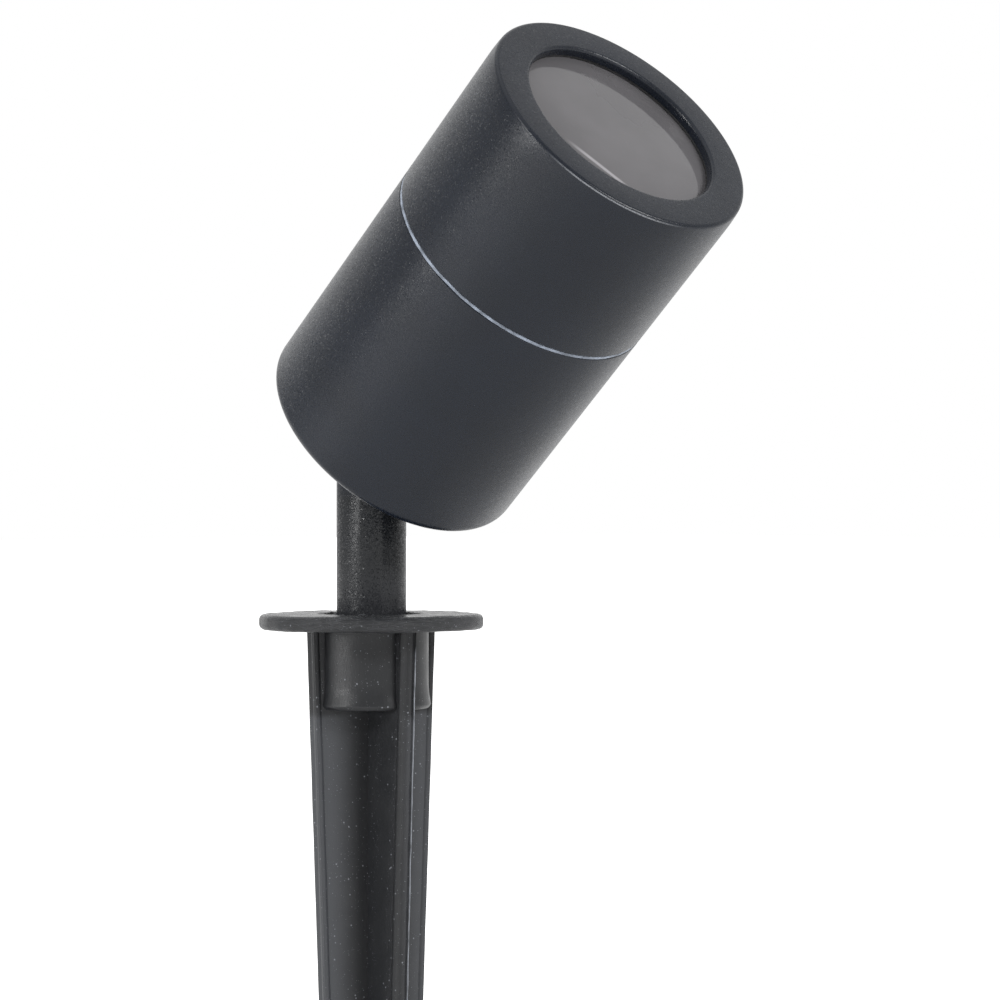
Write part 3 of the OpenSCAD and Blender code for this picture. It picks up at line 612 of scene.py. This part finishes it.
class SpotlightFinishes(bpy.types.PropertyGroup):
    powder: tint("Powder coat", "Colour of the head's and stem's coat", (0.0056, 0.0082, 0.0142))
    spike: tint("Spike", "Colour of the spike's plastic", (0.0245, 0.0258, 0.0285))
    plastic: tint("Gland", "Colour of the gland's plastic", (0.012, 0.012, 0.013))
    rubber: tint("Rubber", "Colour of the rubber seals", (0.010, 0.010, 0.011))
    silicone: tint("Seam gasket", "Colour of the gasket in the seam", (0.28, 0.32, 0.39))
    glass: tint("Glass", "Colour of the satin glass", (0.124, 0.120, 0.126))
    zinc: tint("Zinc", "Colour of the zinc plating", (0.62, 0.63, 0.64))
    stainless: tint("Stainless", "Colour of the stainless steel", (0.5, 0.5, 0.5))
    nylon: tint("Nylon", "Colour of the friction washers", (0.72, 0.72, 0.66))
    brass: tint("Brass", "Colour of the brass", (0.72, 0.47, 0.18))
    ceramic: tint("Ceramic", "Colour of the lampholder", (0.8, 0.77, 0.68))
    pale: tint("White plastic", "Colour of the lamp's base", (0.76, 0.75, 0.7))
    aluminium: tint("Aluminium", "Colour of the lamp's shell", (0.72, 0.73, 0.74))
    opal: tint("Diffuser", "Colour of the lamp's diffuser", (0.5, 0.5, 0.5))
    phosphor: tint("Phosphor", "Colour of the lights", (0.8, 0.56, 0.08))
    board: tint("Board", "Colour of the circuit boards", (0.03, 0.14, 0.05))
    live: tint("Live sleeve", "Colour of the live lead", (0.12, 0.045, 0.02))
    neutral: tint("Neutral sleeve", "Colour of the neutral lead", (0.02, 0.07, 0.3))
    earth: tint("Earth sleeve", "Colour of the earth lead", (0.14, 0.32, 0.03))


class SpotlightSizes(bpy.types.PropertyGroup):
    face_edge: length("Face edge", "Round of the bezel's outer front edge", 0.8 * MM)
    draw_in: length("Draw-in", "How far the bezel's side draws in towards its face", 0.28 * MM)
    lip_edge: length("Lip edge", "Round of the opening's edge", 0.8 * MM)
    back_edge: length("Back edge", "Round of the housing's back edge", 2.5 * MM)
    seam_edge: length("Seam edge", "Round of the two edges beside the seam", 0.3 * MM)
    seam_wave: length("Seam wave", "How far the gasket's edge wanders", 0.12 * MM)
    thread_pitch: length("Thread pitch", "Rise of the neck's thread per turn", 2 * MM)
    thread_depth: length("Thread depth", "Depth of the neck's thread", 0.45 * MM)
    bead_w: length("Bead width", "Width of the bead along a blade's edge", 1.1 * MM)
    flash_up: length("Flash", "How far the moulding flash stands up", 0.28 * MM)


# Operators

class Builder(bpy.types.Operator):
    """Shared settings of the operators"""
    bl_options = {"REGISTER", "UNDO"}

    @property
    def sizes(self):
        return bpy.context.scene.spotlight_sizes

    def execute(self, context):
        self.build(context)
        return {"FINISHED"}


class SPOTLIGHT_OT_finishes(Builder):
    """Make the finish of every material slot and put it on the CAD nodes"""
    bl_idname = "spotlight.finishes"
    bl_label = "Finishes"

    def build(self, context):
        colours = context.scene.spotlight_finishes
        FINISHES.update(
            powder_coat=powder_coat(tuple(colours.powder)),
            spike_plastic=spike_plastic(tuple(colours.spike)),
            black_plastic=black_plastic(tuple(colours.plastic)),
            black_rubber=black_rubber(tuple(colours.rubber)),
            pale_silicone=pale_silicone(tuple(colours.silicone)),
            clear_glass=clear_glass(tuple(colours.glass)),
            zinc_steel=metal("zinc_steel", tuple(colours.zinc), 0.34),
            stainless_steel=metal("stainless_steel", tuple(colours.stainless), 0.26, 0.1),
            nylon=pale_plastic("nylon", tuple(colours.nylon), 0.45),
            brass=metal("brass", tuple(colours.brass), 0.3),
            holder_ceramic=holder_ceramic(tuple(colours.ceramic)),
            white_plastic=pale_plastic("white_plastic", tuple(colours.pale)),
            lamp_aluminium=metal("lamp_aluminium", tuple(colours.aluminium), 0.4),
            lamp_opal=pale_plastic("lamp_opal", tuple(colours.opal), 0.3),
            led_yellow=phosphor(tuple(colours.phosphor)),
            circuit_board=circuit_board(tuple(colours.board)),
            brown_sleeve=sleeve("brown_sleeve", tuple(colours.live)),
            blue_sleeve=sleeve("blue_sleeve", tuple(colours.neutral)),
            green_sleeve=sleeve("green_sleeve", tuple(colours.earth)))
        for node, slot in SLOTS.items():
            materials = frame["nodes"][node].data.materials
            materials.clear()
            materials.append(FINISHES[slot])


class SPOTLIGHT_OT_bezel(Builder):
    """Spin the front bezel with its rounded face edge and lip"""
    bl_idname = "spotlight.bezel"
    bl_label = "Front bezel"

    def build(self, context):
        sizes = self.sizes
        bore = RUBBER_R / MM + 0.1
        lip_back = RUBBER_FRONT / MM + 0.05
        front, back = FACE / MM, BEZEL_BACK / MM
        seam = sizes.seam_edge / MM
        corners = [
            (bore, back, 0.3), (HEAD_R / MM, back, seam), (HEAD_R / MM, front - 3.2, 1.6),
            (HEAD_R / MM - sizes.draw_in / MM, front, sizes.face_edge / MM),
            (OPENING_R / MM, front, sizes.lip_edge / MM),
            (OPENING_R / MM, lip_back, 0.2), (bore, lip_back, 0)]
        bm = spun(corners, 288, 10, place=HEAD)
        piece("bezel_cap", bm, "bezel", "powder_coat", "front_bezel")


class SPOTLIGHT_OT_housing(Builder):
    """Spin the rear housing, bore its back wall and cut the thread on its neck"""
    bl_idname = "spotlight.housing"
    bl_label = "Rear housing"

    def build(self, context):
        sizes = self.sizes
        radius, back = HEAD_R / MM, HEAD_BACK / MM
        end, neck_end, inside = SEAL_LOW / MM, NECK_END / MM, FLOOR_OF_HEAD / MM
        neck = NECK_R / MM - 0.05
        bore, neck_bore = radius - HOUSING_WALL, neck - NECK_WALL
        pitch, thread_l = sizes.thread_pitch / MM, neck_end - end - 0.5
        rows = 8 * round(thread_l / pitch)
        heights = [end + 0.2 + thread_l * row / rows for row in range(rows + 1)]
        corners = [(0, back, 0), (radius, back, sizes.back_edge / MM),
                   (radius, end, sizes.seam_edge / MM), (neck, end, 0)]
        corners += [(neck, height, 0) for height in heights]
        corners += [(neck - 0.35, neck_end, 0), (neck_bore, neck_end, 0.2),
                    (neck_bore, end - 4, 0.2), (bore, end - 4, 0.5), (bore, inside, 0.8),
                    (0, inside, 0)]
        bm = spun(corners, 256, 8)
        for hole_r, node in ((LUG_HOLE_R, "lug_nut"), (GLAND_HOLE_R, "gland_locknut")):
            centre = middle(node, HEAD)
            place = Matrix.Translation((centre.x, centre.y, 0))
            cutter = spun([(0, back - 1, 0), (hole_r, back - 1, 0), (hole_r, inside + 1, 0),
                           (0, inside + 1, 0)], 64, place=place)
            bm = merged(bm, cutter, "DIFFERENCE")
        for vertex in bm.verts:
            height, reach = vertex.co.z / MM, math.hypot(vertex.co.x, vertex.co.y)
            if abs(reach / MM - neck) < 0.01 and heights[0] + 0.01 < height < heights[-1] - 0.01:
                turns = height / pitch - math.atan2(vertex.co.y, vertex.co.x) / math.tau
                ridge = abs(2 * (turns % 1.0) - 1)
                shrink = 1 - sizes.thread_depth * (1 - ridge) / reach
                vertex.co.x *= shrink
                vertex.co.y *= shrink
        bmesh.ops.transform(bm, matrix=HEAD, verts=bm.verts)
        piece("housing_shell", bm, "head", "powder_coat", "rear_housing")


class SPOTLIGHT_OT_seam(Builder):
    """Spin the seam gasket and let its outer edge wander"""
    bl_idname = "spotlight.seam"
    bl_label = "Seam gasket"

    def build(self, context):
        sizes = self.sizes
        outer = HEAD_R / MM - 0.04
        low, high = SEAL_LOW / MM, SEAL_HIGH / MM
        bm = spun([(NECK_R / MM, low, 0), (outer, low, 0.15), (outer, high, 0.15),
                   (NECK_R / MM, high, 0)], 360, 3)
        for vertex in bm.verts:
            x, y, _ = vertex.co / MM
            if math.hypot(x, y) > outer - 0.3:
                wave = rough(x, y, 0, 5.0, 1.0) + 0.6 * rough(x, y, 0, 1.4, 4.0)
                grow = 1 + (sizes.seam_wave * wave - 0.05 * MM) / (outer * MM)
                vertex.co.x *= grow
                vertex.co.y *= grow
        bmesh.ops.transform(bm, matrix=HEAD, verts=bm.verts)
        piece("seam_ring", bm, "head", "pale_silicone", "seam_gasket")


class SPOTLIGHT_OT_lens(Builder):
    """Spin the glass with polished edges and the rubber that holds it"""
    bl_idname = "spotlight.lens"
    bl_label = "Glass and its rubber"

    def build(self, context):
        radius, low, high = GLASS_R / MM, GLASS_BACK / MM, GLASS_FRONT / MM
        bm = spun([(0, low, 0), (radius, low, 0.4), (radius, high, 0.4), (0, high, 0)], 192, 4,
                  place=HEAD)
        piece("glass_disc", bm, "lens", "clear_glass", "lens_glass")
        flap, outer = FLAP_R / MM, RUBBER_R / MM
        back, front = RUBBER_BACK / MM, RUBBER_FRONT / MM
        bm = spun([(flap, back, 0.15), (outer, back, 0.3), (outer, front, 0.3),
                   (flap, front, 0.15), (flap, high, 0.1), (radius, high, 0), (radius, low, 0),
                   (flap, low, 0.1)], 192, 3, place=HEAD)
        piece("glass_rubber", bm, "lens", "black_rubber", "lens_gasket")


class SPOTLIGHT_OT_spike(Builder):
    """Shape the ground spike: disc, boss, four beaded blades and their flash"""
    bl_idname = "spotlight.spike"
    bl_label = "Ground spike"

    def build(self, context):
        bm = merged(self.disc_and_boss(), self.blades(), "UNION")
        worn = bm.verts.layers.float.new("worn")
        for vertex in bm.verts:
            vertex[worn] = self.worn(vertex.co / MM)
        piece("spike_moulding", bm, "spike", "spike_plastic", "ground_spike", sharp=32)

    def disc_and_boss(self):
        """The round parts, uneven as a cheap moulding is, with a burr round the socket."""
        top, rim = DISC_TOP / MM, DISC_R / MM
        corners = [
            (SOCKET_R, top, 0.25), (12.2, top, 0), (14, top, 0), (17, top, 0), (20, top, 0),
            (22.5, top, 0), (rim, top, 1.3), (rim, 0, 1.2), (22.5, 0, 0), (18, 0, 0),
            (BOSS_R, 0, 0.5), (BOSS_R, -4, 0), (BOSS_R, -8, 0), (BOSS_R, -13.4, 1.5),
            (13.1, BOSS_LIP, 0.3), (12.4, BOSS_LOW, 0.3), (1.0, BOSS_LOW, 0),
            (1.0, BOSS_INSIDE, 0), (10.0, BOSS_INSIDE, 0.6), (10.0, SOCKET_LEDGE, 0.2),
            (SOCKET_R, SOCKET_LEDGE, 0.2)]
        bm = spun(corners, 320, 6, scale=1.0)
        for vertex in bm.verts:
            x, y, z = vertex.co
            reach = math.hypot(x, y)
            if reach > BOSS_R + 0.6 and z > -0.5:
                vertex.co.z += 0.12 * rough(x, y, 0, 14.0, 2.0) * (reach - BOSS_R) / 8
                vertex.co.z += 0.08 * rough(x, y, z, 2.2, 6.0)
                if reach > rim - 1.4:
                    grow = 1 + 0.14 * rough(x, y, z * 0.6, 3.0, 8.0) / reach
                    vertex.co.x *= grow
                    vertex.co.y *= grow
            elif reach < SOCKET_R + 0.8 and z > top - 0.5:
                burr = max(0.0, rough(x, y, 0, 1.6, 3.0)) + 0.5 * max(0.0, rough(x, y, 0, 0.7, 5.0))
                vertex.co.z += 0.4 * burr
            elif z < -12.5 and reach > BOSS_R - 0.2:
                vertex.co.z += 0.12 * rough(x, y, 0, 5.0, 9.0)
        bmesh.ops.scale(bm, vec=(MM, MM, MM), verts=bm.verts)
        return bm

    def blades(self):
        """Four beaded blades: their cross-shaped section drawn down level by level, then tapered."""
        bead, flash = self.sizes.bead_w / MM, self.sizes.flash_up / MM
        side = [(BLADE_REACH - bead - BEAD_NECK, 1.6), (BLADE_REACH - bead - 0.3, 1.52),
                (BLADE_REACH - bead, 1.72), (BLADE_REACH - bead + 0.3, 1.8),
                (BLADE_REACH - 0.5, 1.8), (BLADE_REACH - 0.12, 1.74)]
        end = [(0.0, -1.45), (-0.03, -1.05), (-0.28, -0.62), (-0.3, -0.1), (-0.06, 0.3),
               (0.0, 0.75), (-0.08, 1.15), (-0.24, 1.4), (-0.22, 1.6), (0.0, 1.66), (0.0, 1.78)]
        section = [(BLADE_ROOT, -BLADE_ROOT), (6.0, -2.15)]
        section += [(reach, -across) for reach, across in side]
        section += [(BLADE_REACH + out, across) for out, across in end]
        section += [(reach, across) for reach, across in reversed(side[:-1])] + [(6.0, 2.15)]
        bm = bmesh.new()
        points = []
        for quarter in range(4):
            turn = Matrix.Rotation(math.radians(90 * quarter), 3, "Z")
            points += [bm.verts.new(turn @ Vector((reach, across, BLADE_TOP)))
                       for reach, across in section]
        face = bm.faces.new(points)
        bmesh.ops.recalc_face_normals(bm, faces=[face])
        levels = [-LEVEL_STEP * step for step in range(1, 63)] + [POINT_START]
        levels += [POINT_START - POINT_STEP * step for step in range(1, 30)] + [TIP / MM]
        height = BLADE_TOP
        for level in levels:
            last = face
            made = bmesh.ops.extrude_face_region(bm, geom=[face], use_keep_orig=True)
            face = next(item for item in made["geom"] if isinstance(item, bmesh.types.BMFace))
            if height < BLADE_TOP:
                bmesh.ops.delete(bm, geom=[last], context="FACES_ONLY")
            bmesh.ops.translate(bm, vec=(0, 0, level - height), verts=face.verts[:])
            height = level
        bmesh.ops.recalc_face_normals(bm, faces=bm.faces)
        for vertex in bm.verts:
            vertex.co = self.blade_point(vertex.co, bead, flash)
        bmesh.ops.rotate(bm, matrix=Matrix.Rotation(math.radians(BLADE_TURN), 3, "Z"),
                         verts=bm.verts, cent=(0, 0, 0))
        bmesh.ops.scale(bm, vec=(MM, MM, MM), verts=bm.verts)
        return bm

    def edge_at(self, height):
        """How far a blade reaches at a height, in millimetres."""
        if height > POINT_START:
            return BLADE_LOW + (BLADE_REACH - BLADE_LOW) * (height - POINT_START) / -POINT_START
        return POINT_R + (BLADE_LOW - POINT_R) * (height - TIP / MM) / (POINT_START - TIP / MM)

    def worn(self, point):
        """How pale and worn the plastic is: 1 on the flash and less on the hole's torn edge."""
        reach = math.hypot(point.x, point.y)
        if point.z > DISC_TOP / MM + 0.06 and reach < SOCKET_R + 0.9:
            return 0.35
        spoke = math.atan2(point.y, point.x) - math.radians(BLADE_TURN - 90)
        proud = reach * math.cos(spoke) - self.edge_at(point.z)
        return 1.0 if point.z < -4.0 and proud > 0.13 and reach * math.sin(spoke) > 1.0 else 0.0

    def blade_point(self, point, bead, flash):
        """Draws a point of the straight section in to the taper at its height."""
        quarter = round(math.atan2(point.y, point.x) / (math.pi / 2))
        turn = Matrix.Rotation(quarter * math.pi / 2, 3, "Z")
        local = turn.inverted() @ point
        edge = self.edge_at(local.z)
        inner = BLADE_REACH - bead - BEAD_NECK
        if local.x >= inner - 0.01:
            reach = edge + local.x - BLADE_REACH
        else:
            room = max(edge - BLADE_REACH + inner - BLADE_ROOT, 0)
            reach = BLADE_ROOT + (local.x - BLADE_ROOT) * room / (inner - BLADE_ROOT)
        thin = min(1.0, 0.35 + 0.65 * edge / 6.0)
        if local.x >= BLADE_REACH - 0.02 and abs(local.y) > 1.64 and local.y > 0:
            ragged = 0.9 + 0.8 * rough(0, 0, local.z, 5.0, 3.0 + quarter)
            reach += (flash if quarter == -1 else flash * 0.35) * ragged
            local.y += 0.1 * rough(0, 0, local.z, 7.0, 11.0 + quarter)
        reach += 0.05 * rough(local.y, quarter * 9, local.z, 9.0, 5.0)
        local.y += 0.04 * rough(local.x * 0.4, quarter * 9, local.z, 11.0, 7.0)
        least = abs(local.y) * thin if local.x <= BLADE_ROOT + 0.01 else 0.3
        local.x, local.y = max(reach, least), local.y * thin
        if quarter == -1:
            fade = max(0.0, (LEAN_END + local.z) / LEAN_END)
            local.y += FRONT_LEAN * fade * min(1.0, reach / 8.0)
        return turn @ local


class SPOTLIGHT_OT_hardware(Builder):
    """Round the edges of the stem, the joints, the gland, the holder and the lamp"""
    bl_idname = "spotlight.hardware"
    bl_label = "Stem, joints, gland and lamp"

    def build(self, context):
        for name, node, width in HARDWARE:
            piece(name, softened(node, width), BODY_OF[node], SLOTS[node], node)


class SPOTLIGHT_OT_stage(Builder):
    """Set the floor, the lamps, the surroundings and the camera"""
    bl_idname = "spotlight.stage"
    bl_label = "Stage"

    def build(self, context):
        scene = context.scene
        scene.view_settings.view_transform = "Standard"
        self.camera(scene)
        self.surroundings(scene)
        self.floor(scene)
        for name, where, distance, power, width, height in LAMPS:
            self.lamp(scene, name, where, distance, power, width, height)

    def camera(self, scene):
        """Camera at the photograph's place and viewing angle."""
        data = bpy.data.cameras.new("photo_camera")
        data.sensor_fit = "HORIZONTAL"
        data.sensor_width = 36.0
        data.lens = CAMERA_FOCAL_PX * data.sensor_width / PHOTO_PX
        data.clip_start, data.clip_end = 0.01, 100.0
        camera = bpy.data.objects.new("photo_camera", data)
        axes = Matrix((CAMERA_RIGHT, (0, 0, 1), -CAMERA_AHEAD)).transposed().to_4x4()
        camera.matrix_world = Matrix.Translation(CAMERA_PLACE) @ axes
        scene.collection.objects.link(camera)
        scene.camera = camera

    def surroundings(self, scene):
        """White for the camera; mirrors see it dimmer behind the camera."""
        world = bpy.data.worlds.new("surroundings")
        world.use_nodes = True
        scene.world = world
        f = Finish("surroundings", world.node_tree)
        seen, mirrored = ray_kinds(f)
        way = f.add("ShaderNodeTexCoord", output="Generated")
        ahead = f.vector("DOT_PRODUCT", way, CAMERA_AHEAD, "Value")
        studio = f.step(ahead, -0.1, 0.95) * (1 - FRONT_LIGHT) + FRONT_LIGHT
        strength = seen.most(mirrored * studio).most((1 - mirrored) * WORLD_LIGHT)
        shader = f.add("ShaderNodeBackground", None, {"Color": (1, 1, 1, 1), "Strength": strength})
        f.add("ShaderNodeOutputWorld", None, {"Surface": shader})

    def floor(self, scene):
        """Pale floor that keeps the shadow and turns white further off."""
        bm = bmesh.new()
        bmesh.ops.create_grid(bm, x_segments=1, y_segments=1, size=12.0)
        bmesh.ops.translate(bm, vec=(0, 0, TIP - 0.2 * MM), verts=bm.verts)
        mesh = bpy.data.meshes.new("floor")
        bm.to_mesh(mesh)
        bm.free()
        f = Finish("pale_floor")
        diffuse = f.add("ShaderNodeBsdfDiffuse", None, {"Color": (0.8, 0.8, 0.8, 1)})
        away = f.vector("LENGTH", f.point, None, "Value")
        seen, mirrored = ray_kinds(f)
        strength = seen.most(mirrored * FLOOR_MIRRORED) * (f.step(away, 0.22, 0.5) * 0.9 + 0.03)
        lit = f.add("ShaderNodeEmission", None, {"Color": (1, 1, 1, 1), "Strength": strength})
        both = f.add("ShaderNodeAddShader", None, {0: diffuse, 1: lit})
        f.add("ShaderNodeOutputMaterial", None, {"Surface": both})
        mesh.materials.append(f.material)
        floor = bpy.data.objects.new("floor", mesh)
        scene.collection.objects.link(floor)

    def lamp(self, scene, name, where, distance, power, width, height):
        """Soft box that looks at the object."""
        data = bpy.data.lights.new(name, "AREA")
        data.shape = "RECTANGLE"
        data.size, data.size_y = width, height
        data.energy = power
        right, up, away = Vector(where).normalized() * distance
        place = (LAMP_TARGET + right * CAMERA_RIGHT + up * Vector((0, 0, 1))
                 + away * CAMERA_AHEAD)
        item = bpy.data.objects.new(name, data)
        item.matrix_world = (Matrix.Translation(place)
                             @ (place - LAMP_TARGET).to_track_quat("Z", "Y").to_matrix().to_4x4())
        scene.collection.objects.link(item)


class SPOTLIGHT_PT_panel(bpy.types.Panel):
    """Lists the steps and the colours"""
    bl_idname = "SPOTLIGHT_PT_panel"
    bl_label = "Spotlight"
    bl_space_type = "VIEW_3D"
    bl_region_type = "UI"
    bl_category = "Spotlight"

    def draw(self, context):
        for step in STEPS:
            self.layout.operator(step.bl_idname)
        for group in (context.scene.spotlight_sizes, context.scene.spotlight_finishes):
            box = self.layout.box()
            for name in group.__annotations__:
                box.prop(group, name)


STEPS = (SPOTLIGHT_OT_finishes, SPOTLIGHT_OT_bezel, SPOTLIGHT_OT_housing, SPOTLIGHT_OT_seam,
         SPOTLIGHT_OT_lens, SPOTLIGHT_OT_spike, SPOTLIGHT_OT_hardware, SPOTLIGHT_OT_stage)
CLASSES = (SpotlightFinishes, SpotlightSizes) + STEPS + (SPOTLIGHT_PT_panel,)


def register():
    for cls in CLASSES:
        bpy.utils.register_class(cls)
    bpy.types.Scene.spotlight_sizes = bpy.props.PointerProperty(type=SpotlightSizes)
    bpy.types.Scene.spotlight_finishes = bpy.props.PointerProperty(type=SpotlightFinishes)


def unregister():
    del bpy.types.Scene.spotlight_finishes
    del bpy.types.Scene.spotlight_sizes
    for cls in reversed(CLASSES):
        bpy.utils.unregister_class(cls)


def main():
    register()
    for step in STEPS:
        group, name = step.bl_idname.split(".")
        getattr(getattr(bpy.ops, group), name)()


if __name__ == "__main__":
    main()
